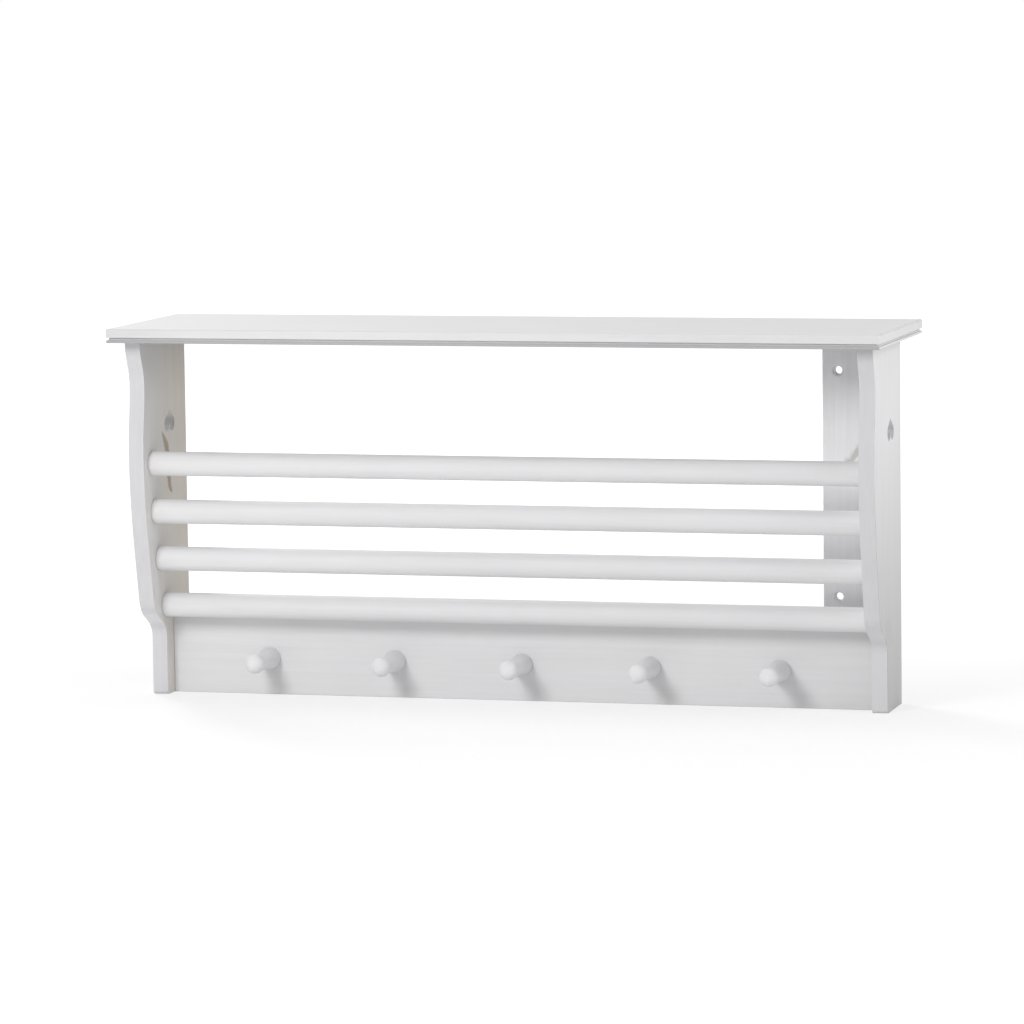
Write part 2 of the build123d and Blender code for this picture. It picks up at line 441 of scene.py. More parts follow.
knot = bpy.data.node_groups.new("knot stain", "ShaderNodeTree")
sockets(knot, "INPUT", "Vector", "Place", "Top", "Foot")
sockets(knot, "INPUT", "Float", "Width")
sockets(knot, "OUTPUT", "Float", "Mark")
knot_in = add(knot, "NodeGroupInput")
knot_out = add(knot, "NodeGroupOutput")
knot_noise = add(knot, "ShaderNodeTexNoise")
knot_noise.inputs["Scale"].default_value = 70
knot_middle = add(knot, "ShaderNodeVectorMath", operation="SUBTRACT")
knot_middle.inputs[1].default_value = (0.5, 0.5, 0.5)
knot_shift = add(knot, "ShaderNodeVectorMath", operation="SCALE")
knot_shift.inputs["Scale"].default_value = wander
knot_bent = add(knot, "ShaderNodeVectorMath", operation="ADD")
knot_run = add(knot, "ShaderNodeVectorMath", operation="SUBTRACT")
knot_reach = add(knot, "ShaderNodeVectorMath", operation="SUBTRACT")
knot_overlap = add(knot, "ShaderNodeVectorMath", operation="DOT_PRODUCT")
knot_whole = add(knot, "ShaderNodeVectorMath", operation="DOT_PRODUCT")
knot_near = add(knot, "ShaderNodeVectorMath", operation="SCALE")
knot_gap = add(knot, "ShaderNodeVectorMath", operation="DISTANCE")
wire(knot, knot_in, "Place", knot_noise, "Vector")
wire(knot, knot_noise, "Color", knot_middle, 0)
wire(knot, knot_middle, 0, knot_shift, 0)
wire(knot, knot_in, "Place", knot_bent, 0)
wire(knot, knot_shift, 0, knot_bent, 1)
wire(knot, knot_in, "Foot", knot_run, 0)
wire(knot, knot_in, "Top", knot_run, 1)
wire(knot, knot_bent, 0, knot_reach, 0)
wire(knot, knot_in, "Top", knot_reach, 1)
wire(knot, knot_reach, 0, knot_overlap, 0)
wire(knot, knot_run, 0, knot_overlap, 1)
wire(knot, knot_run, 0, knot_whole, 0)
wire(knot, knot_run, 0, knot_whole, 1)
knot_share = reckon(knot, "DIVIDE", (knot_overlap, "Value"), (knot_whole, "Value"))
knot_share.use_clamp = True
wire(knot, knot_run, 0, knot_near, 0)
wire(knot, knot_share, 0, knot_near, "Scale")
wire(knot, knot_reach, 0, knot_gap, 0)
wire(knot, knot_near, 0, knot_gap, 1)
knot_rest = reckon(knot, "SUBTRACT", 1, (knot_share, 0))
knot_swell = reckon(knot, "MULTIPLY", (knot_share, 0), (knot_rest, 0))
knot_belly = reckon(knot, "MULTIPLY", (knot_swell, 0), swelling)
knot_taper = reckon(knot, "ADD", (knot_belly, 0), thin_end)
knot_half = reckon(knot, "MULTIPLY", (knot_taper, 0), (knot_in, "Width"))
knot_far = reckon(knot, "DIVIDE", (knot_gap, "Value"), (knot_half, 0))
knot_fade = fading(knot, (knot_far, 0), (dark_core, 1))
wire(knot, *knot_fade, knot_out, "Mark")


def knot_stain(paint, colour, top, foot, width):
    """One brown streak from top to foot."""
    tree = paint.node_tree
    stain = add(tree, "ShaderNodeGroup", node_tree=knot)
    stain.inputs["Top"].default_value = top
    stain.inputs["Foot"].default_value = foot
    stain.inputs["Width"].default_value = width
    place = add(tree, "ShaderNodeTexCoord")
    wire(tree, place, "Object", stain, "Place")
    lay_over(paint, colour, (stain, "Mark"))


print("knot group has", len(knot.nodes), "nodes")

# %% [markdown]
# ## The fronts of the panels
#
# The narrow front of each panel is a saw cut that runs partly across the grain. One
# layer paints shade on whatever faces the front, to darken it.

# %% Paint shade on the fronts of the panels
for paint, front_shade in ((left_paint, 0.82), (right_paint, 0.86)):
    tree, spot, facing = survey(paint)
    to_front = fading(tree, (facing, "Y"), faces_front)
    lay_over(paint, (front_shade, front_shade, front_shade + 0.01), to_front)
print("duller fronts:", left_paint.name, "-", right_paint.name)

# %% [markdown]
# ## The left-hand panel
#
# The inside of this panel is tinted warmer and darker, most of all towards the wall, and
# its upper part is painted darker as the shadow of the shelf. Two knots show there. The
# walls of the heart are painted darker too, as painted shade inside the hole: they are
# found by their distance from its middle.

# %% Age and shade the left-hand panel
faces_aside = (0.5, 0.9)
heart_middle = (0, 1.5 * mm, 284 * mm)
heart_rim = (19 * mm, 21 * mm)
heart_wall = (0.3, 0.8)
heart_roof = (0.1, 0.5)
shelf_shade = (0.30, 0.37)
resin_brown = (0.60, 0.53, 0.44)
upper_knot = {"top": (-0.372, -0.020, 0.272), "foot": (-0.372, -0.003, 0.248)}
lower_knot = {"top": (-0.372, -0.007, 0.228), "foot": (-0.372, 0.002, 0.210)}

tree, spot, facing = survey(left_paint)
flat_place = add(tree, "ShaderNodeCombineXYZ")
wire(tree, spot, "Y", flat_place, "Y")
wire(tree, spot, "Z", flat_place, "Z")
from_heart = add(tree, "ShaderNodeVectorMath", operation="DISTANCE")
from_heart.inputs[1].default_value = heart_middle
wire(tree, flat_place, 0, from_heart, 0)
aside = (reckon(tree, "ABSOLUTE", (facing, "X"), 0), 0)
in_heart = fading(tree, (from_heart, "Value"), heart_rim)
on_wall = fading(tree, aside, heart_wall)
faces_not_up = fading(tree, (facing, "Z"), heart_roof)
# Painted shade on the walls of the heart that don't face up.
lay_over(left_paint, (0.86, 0.84, 0.81), in_heart, on_wall, faces_not_up)

inside = growing(tree, (facing, "X"), faces_aside)
to_wall = ramp(tree, (spot, "Y"), low=-0.08, high=0.05, start=0.25, end=1)
painted_shelf_shadow = growing(tree, (spot, "Z"), shelf_shade)
# The inside is tinted warmer and darker towards the wall.
lay_over(left_paint, (0.98, 0.92, 0.825), inside, to_wall)
# Painted shadow of the shelf on the upper part of the inside.
lay_over(left_paint, grey(0.82), inside, painted_shelf_shadow)
knot_stain(left_paint, resin_brown, **upper_knot, width=0.008)
knot_stain(left_paint, resin_brown, **lower_knot, width=0.008)
print("aged:", left_paint.name)

# %% [markdown]
# ## The right-hand panel and the stile
#
# The outside of this panel is painted darker towards its foot, as painted shade, with a
# warm stain low down, and the paint is rubbed through along its outer front edge. That
# edge is found by the way it faces: a little outwards, but not as far as the flat face
# beside it. The stile is painted darker low down, as the shadow of the rails, and a knot
# shows through its paint.

# %% Age and shade the right-hand panel and the stile
turned_out = (0.05, 0.2)
flat_side = (0.97, 0.999)
shaded_foot_span = (0.0, 0.33)
front_strip = (-0.012, 0.0)
brushed_past = (0.20, 0.25)
stile_low_part = (0.15, 0.21)
bare_and_dirty = (0.14, 0.11, 0.10)
warm_brown = (0.98, 0.968, 0.95)
warm_stain = {"top": (0.388, -0.024, 0.090), "foot": (0.388, 0.004, 0.072)}
stile_resin = (0.68, 0.68, 0.645)
stile_knot = {"top": (0.333, 0.043, 0.244), "foot": (0.361, 0.043, 0.272)}

tree, spot, facing = survey(right_paint)
# Painted shade: the outside darkens towards the foot.
outside = growing(tree, (facing, "X"), faces_aside)
low_down = fading(tree, (spot, "Z"), shaded_foot_span)
lay_over(right_paint, grey(0.70), outside, low_down)

turned = growing(tree, (facing, "X"), turned_out)
not_flat = fading(tree, (facing, "X"), flat_side)
front_half = fading(tree, (spot, "Y"), front_strip)
in_reach = fading(tree, (spot, "Z"), brushed_past)
flake_place = add(tree, "ShaderNodeTexCoord")
flakes = add(tree, "ShaderNodeTexNoise")
flakes.inputs["Scale"].default_value = 60
wire(tree, flake_place, "Object", flakes, "Vector")
rubbed = ramp(tree, (flakes, "Fac"), low=0.36, high=0.50, start=0.6, end=1)
lay_over(right_paint, bare_and_dirty, turned, not_flat, front_half, in_reach, rubbed)
knot_stain(right_paint, warm_brown, **warm_stain, width=0.022)

tree, spot = survey(stile_paint)[:2]
# Painted shadow of the rails on the lower part of the stile.
rail_shadow_low = fading(tree, (spot, "Z"), stile_low_part)
lay_over(stile_paint, grey(0.90), rail_shadow_low)
knot_stain(stile_paint, stile_resin, **stile_knot, width=0.0066)
print("aged:", right_paint.name, "-", stile_paint.name)

# %% [markdown]
# ## Bare wood for the dowels
#
# Ten dowels hold the joints. They are hidden once the piece is put together, and they
# stay bare, because glue doesn't hold on paint. Their solids already have the right
# shape, so they only get a material.

# %% Finish the dowels
bare_wood, bare_output = new_material("bare beech")
bare_tree = bare_wood.node_tree
bare_place = add(bare_tree, "ShaderNodeTexCoord")
bare_fleck = add(bare_tree, "ShaderNodeTexNoise")
bare_fleck.inputs["Scale"].default_value = 420
bare_fleck.inputs["Detail"].default_value = 5
bare_tone = add(bare_tree, "ShaderNodeMix", data_type="RGBA")
bare_tone.inputs["A"].default_value = (0.60, 0.42, 0.24, 1)
bare_tone.inputs["B"].default_value = (0.46, 0.29, 0.15, 1)
bare_coat = add(bare_tree, "ShaderNodeBsdfPrincipled")
bare_coat.inputs["Roughness"].default_value = 0.7
wire(bare_tree, bare_place, "Object", bare_fleck, "Vector")
wire(bare_tree, bare_fleck, "Fac", bare_tone, "Factor")
wire(bare_tree, bare_tone, "Result", bare_coat, "Base Color")
wire(bare_tree, bare_coat, 0, bare_output, "Surface")

dowel_names = [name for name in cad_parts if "dowels" in name]
for name in dowel_names:
    dowel_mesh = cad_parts[name].data
    dowel_mesh.materials.clear()
    dowel_mesh.materials.append(bare_wood)
print("dowels finished:", dowel_names)

# %% [markdown]
# ## Finishing a piece
#
# Every piece ends in the same way: it becomes a plain mesh, takes its paint, stands
# for its solids and moves with the one body of this object.


# %% Helpers that finish a piece
def plain_mesh(source, name):
    """Turns an object with its modifiers into a new object with a plain mesh."""
    evaluated = source.evaluated_get(bpy.context.evaluated_depsgraph_get())
    mesh = bpy.data.meshes.new_from_object(evaluated)
    mesh.name = name
    bpy.data.objects.remove(source)
    piece = bpy.data.objects.new(name, mesh)
    scene.collection.objects.link(piece)
    return piece


def soften_edges(piece, width):
    """Rounds the sharp edges, as sandpaper and paint do."""
    bevel = piece.modifiers.new("soft edges", "BEVEL")
    bevel.width = width
    bevel.segments = 3
    bevel.limit_method = "ANGLE"
    bevel.angle_limit = math.radians(35)
    bevel.harden_normals = True


def settle(piece, *solids):
    """The piece stands for these solids and moves with the body."""
    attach(piece, "root")
    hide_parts(*solids)
    size = piece.dimensions / mm
    print(piece.name, "mm:", [round(side, 1) for side in size], len(piece.data.polygons), "faces")


# %% [markdown]
# ## The moulded shelf
#
# The shelf's edge is a moulding: a half-round bead below, a sunk cove above it, then
# the tall face with a rounded top. The same moulding turns round all four edges and
# meets in a mitre at each corner. It is drawn first, as a row of points.

# %% Measure the shelf
shelf_length = 800 * mm
shelf_depth = 220 * mm
shelf_thickness = 14.5 * mm
shelf_underside = 372 * mm
bead_radius = 1.5 * mm
quirk_depth = 3.0 * mm
quirk_height = 2.4 * mm
cove_bow = 0.3 * mm
top_round = 2.0 * mm
arris_round = 0.7 * mm
corner_round = 1.5 * mm
round_steps = 6
arris_steps = 4


def quarter(centre, radius, start, steps):
    """Points of a quarter circle, clockwise from the angle start, in degrees."""
    turns = [math.radians(start - 90 * step / steps) for step in range(steps + 1)]
    return [(centre[0] + radius * math.cos(t), centre[1] + radius * math.sin(t)) for t in turns]


def moulding():
    """The shelf's edge from the underside up, as (distance in from the edge, height)."""
    soffit = 2 * bead_radius + quirk_height
    bead_middle = (bead_radius, bead_radius)
    points = quarter(bead_middle, bead_radius, 270, round_steps)
    points += quarter(bead_middle, bead_radius, 180, round_steps)[1:]
    for step in range(1, round_steps + 1):
        share = step / round_steps
        inward = bead_radius + (quirk_depth - bead_radius) * share
        bow = 4 * cove_bow * share * (1 - share)
        points.append((inward + bow, 2 * bead_radius + quirk_height * share))
    points.append((arris_round, soffit))
    points += quarter((arris_round, soffit + arris_round), arris_round, 270, arris_steps)[1:]
    points += quarter((top_round, shelf_thickness - top_round), top_round, 180, round_steps)
    return points


print("moulding has", len(moulding()), "steps")

# %% [markdown]
# ## From the moulding to the board
#
# A curve swept round the board would leave it open above and below. A stack of
# rectangles closes it: each step of the moulding is one rectangle, a little smaller or
# larger than the one below it, and neighbours are joined by a band of faces.


# %% Mould the shelf
def rounded_rectangle(mesh, half_length, half_depth, height):
    """One step of the shelf, as a ring of points."""
    ring = []
    for corner in range(4):
        across = half_length - corner_round
        back = half_depth - corner_round
        side = (1, 1, -1, -1)[corner]
        end = (-1, 1, 1, -1)[corner]
        for step in range(arris_steps + 1):
            turn = math.radians(90 * corner - 90 + 90 * step / arris_steps)
            x = side * across + corner_round * math.cos(turn)
            y = end * back + corner_round * math.sin(turn)
            ring.append(mesh.verts.new((x, y, height)))
    return ring


def moulded_shelf():
    """The rings of the moulding, skinned and closed above and below."""
    mesh = bmesh.new()
    rings = []
    for inward, rise in moulding():
        half_length = shelf_length / 2 - inward
        half_depth = shelf_depth / 2 - inward
        rings.append(rounded_rectangle(mesh, half_length, half_depth, shelf_underside + rise))
    for below, above in zip(rings, rings[1:]):
        for corner in range(len(below)):
            after = (corner + 1) % len(below)
            mesh.faces.new((below[corner], below[after], above[after], above[corner]))
    mesh.faces.new(rings[-1])
    mesh.faces.new(list(reversed(rings[0])))
    for face in mesh.faces:
        face.smooth = True
    data = bpy.data.meshes.new("shelf")
    mesh.to_mesh(data)
    mesh.free()
    data.set_sharp_from_angle(angle=math.radians(38))
    return data


shelf = bpy.data.objects.new("shelf", moulded_shelf())
shelf.data.materials.append(shelf_paint)
scene.collection.objects.link(shelf)
even_shading = shelf.modifiers.new("even shading", "WEIGHTED_NORMAL")
even_shading.keep_sharp = True
shelf = plain_mesh(shelf, "shelf")
settle(shelf, "shelf_board")

# %% [markdown]
# ## A tree that saws boards
#
# The side panels, the peg board and the stile are all cut from flat board. Each one
# is drawn as a flat outline with its holes, and one Geometry Nodes tree saws them
# all: it fills the outline, pushes the face back by the thickness of the board,
# closes the front, and stands the board up in its place.

# %% Build the sawing tree
sawing = bpy.data.node_groups.new("saw a board", "GeometryNodeTree")
sockets(sawing, "INPUT", "Geometry", "Outline")
sockets(sawing, "INPUT", "Float", "Thickness")
sockets(sawing, "INPUT", "Vector", "Turn", "Place")
sockets(sawing, "INPUT", "Material", "Paint")
sockets(sawing, "OUTPUT", "Geometry", "Board")
saw_in = add(sawing, "NodeGroupInput")
saw_out = add(sawing, "NodeGroupOutput")
saw_face = add(sawing, "GeometryNodeFillCurve", mode="NGONS")
saw_push = add(sawing, "GeometryNodeExtrudeMesh", mode="FACES")
saw_push.inputs["Individual"].default_value = False
saw_offset = add(sawing, "ShaderNodeCombineXYZ")
saw_turned = add(sawing, "GeometryNodeFlipFaces")
saw_join = add(sawing, "GeometryNodeJoinGeometry")
saw_weld = add(sawing, "GeometryNodeMergeByDistance")
saw_weld.inputs["Distance"].default_value = 0.01 * mm
saw_smooth = add(sawing, "GeometryNodeSetShadeSmooth")
saw_stand = add(sawing, "GeometryNodeTransform")
saw_real = add(sawing, "GeometryNodeRealizeInstances")
saw_paint = add(sawing, "GeometryNodeSetMaterial")
wire(sawing, saw_in, "Outline", saw_face, 0)
wire(sawing, saw_face, 0, saw_push, "Mesh")
wire(sawing, saw_in, "Thickness", saw_offset, "Z")
wire(sawing, saw_offset, 0, saw_push, "Offset")
wire(sawing, saw_face, 0, saw_turned, 0)
wire(sawing, saw_push, "Mesh", saw_join, 0)
wire(sawing, saw_turned, 0, saw_join, 0)
chain(sawing, saw_join, saw_weld, saw_smooth, saw_stand, saw_real, saw_paint, saw_out)
wire(sawing, saw_in, "Place", saw_stand, "Translation")
wire(sawing, saw_in, "Turn", saw_stand, "Rotation")
wire(sawing, saw_in, "Paint", saw_paint, "Material")
print("sawing tree has", len(sawing.nodes), "nodes")


def run_tree(piece, tree, **settings):
    """Adds the tree to a piece as a modifier and sets its named inputs."""
    modifier = piece.modifiers.new(tree.name, "NODES")
    modifier.node_group = tree
    for item in tree.interface.items_tree:
        if item.item_type == "SOCKET" and item.name in settings:
            modifier[item.identifier] = settings[item.name]


# %% [markdown]
# ## Outlines
#
# An outline is a Bezier curve. At a corner the handles point straight at the
# neighbours. Where the outline swings through a bend, the handles lie along the
# direction of the saw cut there, each a little over a third of the way to the next
# point.


# %% Helpers for outlines
handle_share = 0.37


def add_loop(curve, points):
    """Adds a closed loop. A point is (place, direction), without a direction at a corner."""
    loop = curve.splines.new("BEZIER")
    loop.bezier_points.add(len(points) - 1)
    loop.use_cyclic_u = True
    for anchor, (place, _) in zip(loop.bezier_points, points):
        anchor.co = Vector(place).to_3d()
        anchor.handle_left_type = "VECTOR"
        anchor.handle_right_type = "VECTOR"
    for number, (place, direction) in enumerate(points):
        before = points[number - 1]
        after = points[(number + 1) % len(points)]
        anchor = loop.bezier_points[number]
        here = Vector(place)
        if direction and before[1]:
            pull = Vector(direction).normalized() * (here - Vector(before[0])).length
            anchor.handle_left_type = "FREE"
            anchor.handle_left = (here - pull * handle_share).to_3d()
        if direction and after[1]:
            pull = Vector(direction).normalized() * (Vector(after[0]) - here).length
            anchor.handle_right_type = "FREE"
            anchor.handle_right = (here + pull * handle_share).to_3d()


def outline(name, *loops):
    """A flat curve object made of closed loops."""
    curve = bpy.data.curves.new(name, "CURVE")
    curve.dimensions = "2D"
    curve.fill_mode = "NONE"
    curve.resolution_u = 14
    for loop in loops:
        add_loop(curve, loop)
    drawn = bpy.data.objects.new(name, curve)
    scene.collection.objects.link(drawn)
    return drawn


def polygon(points):
    """A loop of straight sides."""
    return [(point, None) for point in points]


# %% [markdown]
# ## The side panels
#
# Each panel has a serpentine front: it falls in under the shelf, swells out over the
# rails, sweeps back in an ogee, and drops straight to the foot. The back is straight.
# A small heart is cut through each panel, tip up.

# %% Draw the side panel
front = -110 * mm
panel_height = 372 * mm
panel_back = 53 * mm
panel_inner = 372 * mm
board_thickness = 16 * mm
down = (0, -1)
shoulder = (front + 24 * mm, panel_height)
throat = (front + 36 * mm, panel_height - 46 * mm)
belly = (front + 29 * mm, panel_height - 116 * mm)
apron = (front + 52 * mm, 103 * mm)
ankle = (front + 71.25 * mm, 81.5 * mm)
foot_top = (front + 90.5 * mm, 60 * mm)
toe_round = 4 * mm
toe_steps = 6


def serpentine():
    """The panel seen from the side, as a loop in (Y, Z)."""
    toe = []
    for step in range(toe_steps + 1):
        turn = math.radians(180 + 90 * step / toe_steps)
        y = foot_top[0] + toe_round * (1 + math.cos(turn))
        toe.append(((y, toe_round * (1 + math.sin(turn))), None))
    bends = [(shoulder, down), (throat, down), (belly, down)]
    bends += [(apron, (0.22, -1)), (ankle, (2, -1)), (foot_top, down)]
    return bends + toe + polygon([(panel_back, 0), (panel_back, panel_height)])


heart_width = 32 * mm
heart_height = 22.5 * mm
heart_place = Vector(heart_middle[1:])
lobe_steps = 24


def heart():
    """A heart with its tip up: straight flanks that run into two round lobes."""
    lobe = heart_width / 4
    middle = Vector((lobe, lobe - heart_height / 2))
    tip = Vector((0, heart_height / 2))
    reach = (tip - middle).length
    lean = math.atan2(tip.y - middle.y, tip.x - middle.x)
    first = lean - math.acos(lobe / reach)
    half = []
    for step in range(lobe_steps + 1):
        turn = first + (-math.pi - first) * step / lobe_steps
        half.append(middle + lobe * Vector((math.cos(turn), math.sin(turn))))
    other = [Vector((-point.x, point.y)) for point in reversed(half[:-1])]
    return polygon([heart_place + point for point in [tip, *half, *other]])


print("panel outline has", len(serpentine()), "points; the heart has", len(heart()))

# %% [markdown]
# ## Two panels from one outline
#
# A flat board looks alike from both faces, so both panels can be sawn from the same
# outline. Neither has to be a mirror image: only their place and their paint differ.


# %% Saw the side panels
def side_panel(name, solid, near_face, paint):
    """One panel. The near face is the one that the board grows from, towards +X."""
    drawn = outline(name, serpentine(), heart())
    run_tree(
        drawn,
        sawing,
        Thickness=board_thickness,
        Turn=(math.pi / 2, 0, math.pi / 2),
        Place=(near_face, 0, 0),
        Paint=paint,
    )
    panel = plain_mesh(drawn, name)
    soften_edges(panel, 1.2 * mm)
    settle(plain_mesh(panel, name), solid)


left_outer = -panel_inner - board_thickness
side_panel("left_side", "side_panel_left", left_outer, left_paint)
side_panel("right_side", "side_panel_right", panel_inner, right_paint)

# %% [markdown]
# ## The peg board
#
# The peg board is a plain length of board between the feet of the panels. The same
# tree saws it, from a rectangle that is turned upright to face the front.

# %% Saw the peg board
board_front = 2 * mm
board_height = 90 * mm
upright = (math.pi / 2, 0, 0)


def rectangle(left, right, low, high):
    """A loop with four corners."""
    return polygon([(left, low), (right, low), (right, high), (left, high)])


drawn = outline("board", rectangle(-panel_inner, panel_inner, 0, board_height))
run_tree(
    drawn,
    sawing,
    Thickness=board_thickness,
    Turn=upright,
    Place=(0, board_front + board_thickness, 0),
    Paint=board_paint,
)
peg_board = plain_mesh(drawn, "board_for_pegs")
soften_edges(peg_board, 0.8 * mm)
peg_board = plain_mesh(peg_board, "board_for_pegs")
settle(peg_board, "peg_board")

# %% [markdown]
# ## The wall stile
#
# The stile stands behind the rails at the right-hand end. Two screws go through it into
# the wall, so it has two holes near its free edge, countersunk for the screws' heads.
# The tree saws each hole straight through, and its front rim is then cut back at 45
# degrees.

# %% Saw the stile
stile_left = 310 * mm
stile_foot = 76 * mm
stile_thickness = 10 * mm
hole_x = 326 * mm
hole_heights = (339 * mm, 109 * mm)
hole_radius = 4 * mm
hole_steps = 32
sink_depth = 2 * mm


def round_hole(x, z, radius):
    """A loop of short straight sides."""
    turns = [2 * math.pi * step / hole_steps for step in range(hole_steps)]
    return polygon([(x + radius * math.cos(t), z + radius * math.sin(t)) for t in turns])


def countersink(piece):
    """Cuts back the front rim of each hole, for the head of the screw."""
    mesh = bmesh.new()
    mesh.from_mesh(piece.data)
    front_face = min(point.co.y for point in mesh.verts)
    rims = []
    for edge in mesh.edges:
        middle = (edge.verts[0].co + edge.verts[1].co) / 2
        gaps = [math.hypot(middle.x - hole_x, middle.z - height) for height in hole_heights]
        if edge.calc_length() < hole_radius and abs(middle.y - front_face) < sink_depth / 10:
            if min(gaps) < hole_radius:
                rims.append(edge)
    bmesh.ops.bevel(mesh, geom=rims, offset=sink_depth, segments=1, affect="EDGES")
    mesh.to_mesh(piece.data)
    mesh.free()
    print("countersunk", len(hole_heights), "holes")


drawn = outline(
    "stile",
    rectangle(stile_left, panel_inner, stile_foot, panel_height),
    *[round_hole(hole_x, height, hole_radius) for height in hole_heights],
)
run_tree(
    drawn,
    sawing,
    Thickness=stile_thickness,
    Turn=upright,
    Place=(0, panel_back, 0),
    Paint=stile_paint,
)
stile = plain_mesh(drawn, "stile")
countersink(stile)
soften_edges(stile, 0.6 * mm)
stile = plain_mesh(stile, "stile")
settle(stile, "wall_stile")

# %% [markdown]
# ## A lathe
#
# Rails and pegs are round, so both are turned. A turned piece is fully described by
# its axis and by the girth of the wood at each place along it. That is what the lathe
# tree takes: a line of points, each with a number called girth. It sweeps a circle
# along the line and scales it to the girth.

# %% Build the lathe
lathe = bpy.data.node_groups.new("lathe", "GeometryNodeTree")
sockets(lathe, "INPUT", "Geometry", "Axis")
sockets(lathe, "OUTPUT", "Geometry", "Turned")
lathe_in = add(lathe, "NodeGroupInput")
lathe_out = add(lathe, "NodeGroupOutput")
lathe_axis = add(lathe, "GeometryNodeMeshToCurve")
lathe_girth = add(lathe, "GeometryNodeInputNamedAttribute", data_type="FLOAT")
lathe_girth.inputs["Name"].default_value = "girth"
lathe_round = add(lathe, "GeometryNodeCurvePrimitiveCircle", mode="RADIUS")
lathe_round.inputs["Resolution"].default_value = 56
lathe_round.inputs["Radius"].default_value = 1
lathe_skin = add(lathe, "GeometryNodeCurveToMesh")
lathe_skin.inputs["Fill Caps"].default_value = True
wire(lathe, lathe_in, "Axis", lathe_axis, 0)
wire(lathe, lathe_axis, 0, lathe_skin, "Curve")
wire(lathe, lathe_round, 0, lathe_skin, "Profile Curve")
wire(lathe, lathe_girth, "Attribute", lathe_skin, "Scale")
wire(lathe, lathe_skin, 0, lathe_out, 0)


def turning(name, axis, stations):
    """A line along the axis. A station is (distance along the axis, radius)."""
    points = [Vector(axis) * along for along, _ in stations]
    data = bpy.data.meshes.new(name)
    data.from_pydata(points, [(n, n + 1) for n in range(len(points) - 1)], [])
    girth = data.attributes.new("girth", "FLOAT", "POINT")
    for entry, (_, radius) in zip(girth.data, stations):
        entry.value = radius
    turned = bpy.data.objects.new(name, data)
    scene.collection.objects.link(turned)
    return turned


print("lathe ready:", len(lathe.nodes), "nodes")

# %% [markdown]
# ## The rails
#
# Four round rails run from panel to panel. They follow one rule: each lies lower than
# the one before, and the lower it lies the faster it moves back. Such a row is a job
# for Geometry Nodes: one tree places a point for each rail and stands a rail on each
# point.


# %% Build the rail tree
def stand_and_paint(tree, start, points, piece, end):
    """Stands the piece on each point, makes one mesh of them all and paints it."""
    stand = add(tree, "GeometryNodeInstanceOnPoints")
    real = add(tree, "GeometryNodeRealizeInstances")
    smooth = add(tree, "GeometryNodeSetShadeSmooth")
    coat = add(tree, "GeometryNodeSetMaterial")
    wire(tree, points, 0, stand, "Points")
    wire(tree, piece, 0, stand, "Instance")
    chain(tree, stand, real, smooth, coat, end)
    wire(tree, start, "Paint", coat, "Material")
    return stand


rack = bpy.data.node_groups.new("rack of rails", "GeometryNodeTree")
sockets(rack, "INPUT", "Geometry", "Start")
sockets(rack, "INPUT", "Int", "Rails")
sockets(rack, "INPUT", "Vector", "Top rail", "Bottom rail")
sockets(rack, "INPUT", "Float", "Straightness")
sockets(rack, "INPUT", "Material", "Paint")
sockets(rack, "OUTPUT", "Geometry", "Rack")
rack_in = add(rack, "NodeGroupInput")
rack_out = add(rack, "NodeGroupOutput")
rack_row = add(rack, "GeometryNodeMeshLine", mode="OFFSET")
rack_index = add(rack, "GeometryNodeInputIndex")
last_rail = reckon(rack, "SUBTRACT", (rack_in, "Rails"), 1)
share = reckon(rack, "DIVIDE", (rack_index, 0), (last_rail, 0))
squared = reckon(rack, "MULTIPLY", (share, 0), (share, 0))
straight = reckon(rack, "MULTIPLY", (share, 0), (rack_in, "Straightness"))
bend = reckon(rack, "SUBTRACT", 1, (rack_in, "Straightness"))
bent = reckon(rack, "MULTIPLY", (squared, 0), (bend, 0))
sweep = reckon(rack, "ADD", (straight, 0), (bent, 0))
rack_top = add(rack, "ShaderNodeSeparateXYZ")
rack_low = add(rack, "ShaderNodeSeparateXYZ")
wire(rack, rack_in, "Top rail", rack_top, 0)
wire(rack, rack_in, "Bottom rail", rack_low, 0)
rack_y = add(rack, "ShaderNodeMix", data_type="FLOAT", clamp_factor=False)
rack_z = add(rack, "ShaderNodeMix", data_type="FLOAT", clamp_factor=False)
wire(rack, sweep, 0, rack_y, "Factor")
wire(rack, rack_top, "Y", rack_y, "A")
wire(rack, rack_low, "Y", rack_y, "B")
wire(rack, share, 0, rack_z, "Factor")
wire(rack, rack_top, "Z", rack_z, "A")
wire(rack, rack_low, "Z", rack_z, "B")
rack_place = add(rack, "ShaderNodeCombineXYZ")
wire(rack, rack_y, "Result", rack_place, "Y")
wire(rack, rack_z, "Result", rack_place, "Z")
rack_points = add(rack, "GeometryNodeSetPosition")
wire(rack, rack_in, "Rails", rack_row, "Count")
wire(rack, rack_row, 0, rack_points, "Geometry")
wire(rack, rack_place, 0, rack_points, "Position")

one_rail = add(rack, "GeometryNodeGroup", node_tree=lathe)
wire(rack, rack_in, "Start", one_rail, "Axis")
stand_and_paint(rack, rack_in, rack_points, one_rail, rack_out)
print("rail tree has", len(rack.nodes), "nodes")

# %% [markdown]
# ## One rail
#
# A rail is a straight dowel that runs 8 mm into both panels. It keeps its girth nearly
# all the way and narrows in a small round shoulder where it enters the wood. Only one
# half is reckoned, because the other is its mirror image.

# %% Turn the rails
rail_radius = 12.5 * mm
rail_half = 380 * mm
shoulder_radius = 11.6 * mm
shoulder_run = 1.6 * mm
shoulder_steps = 4


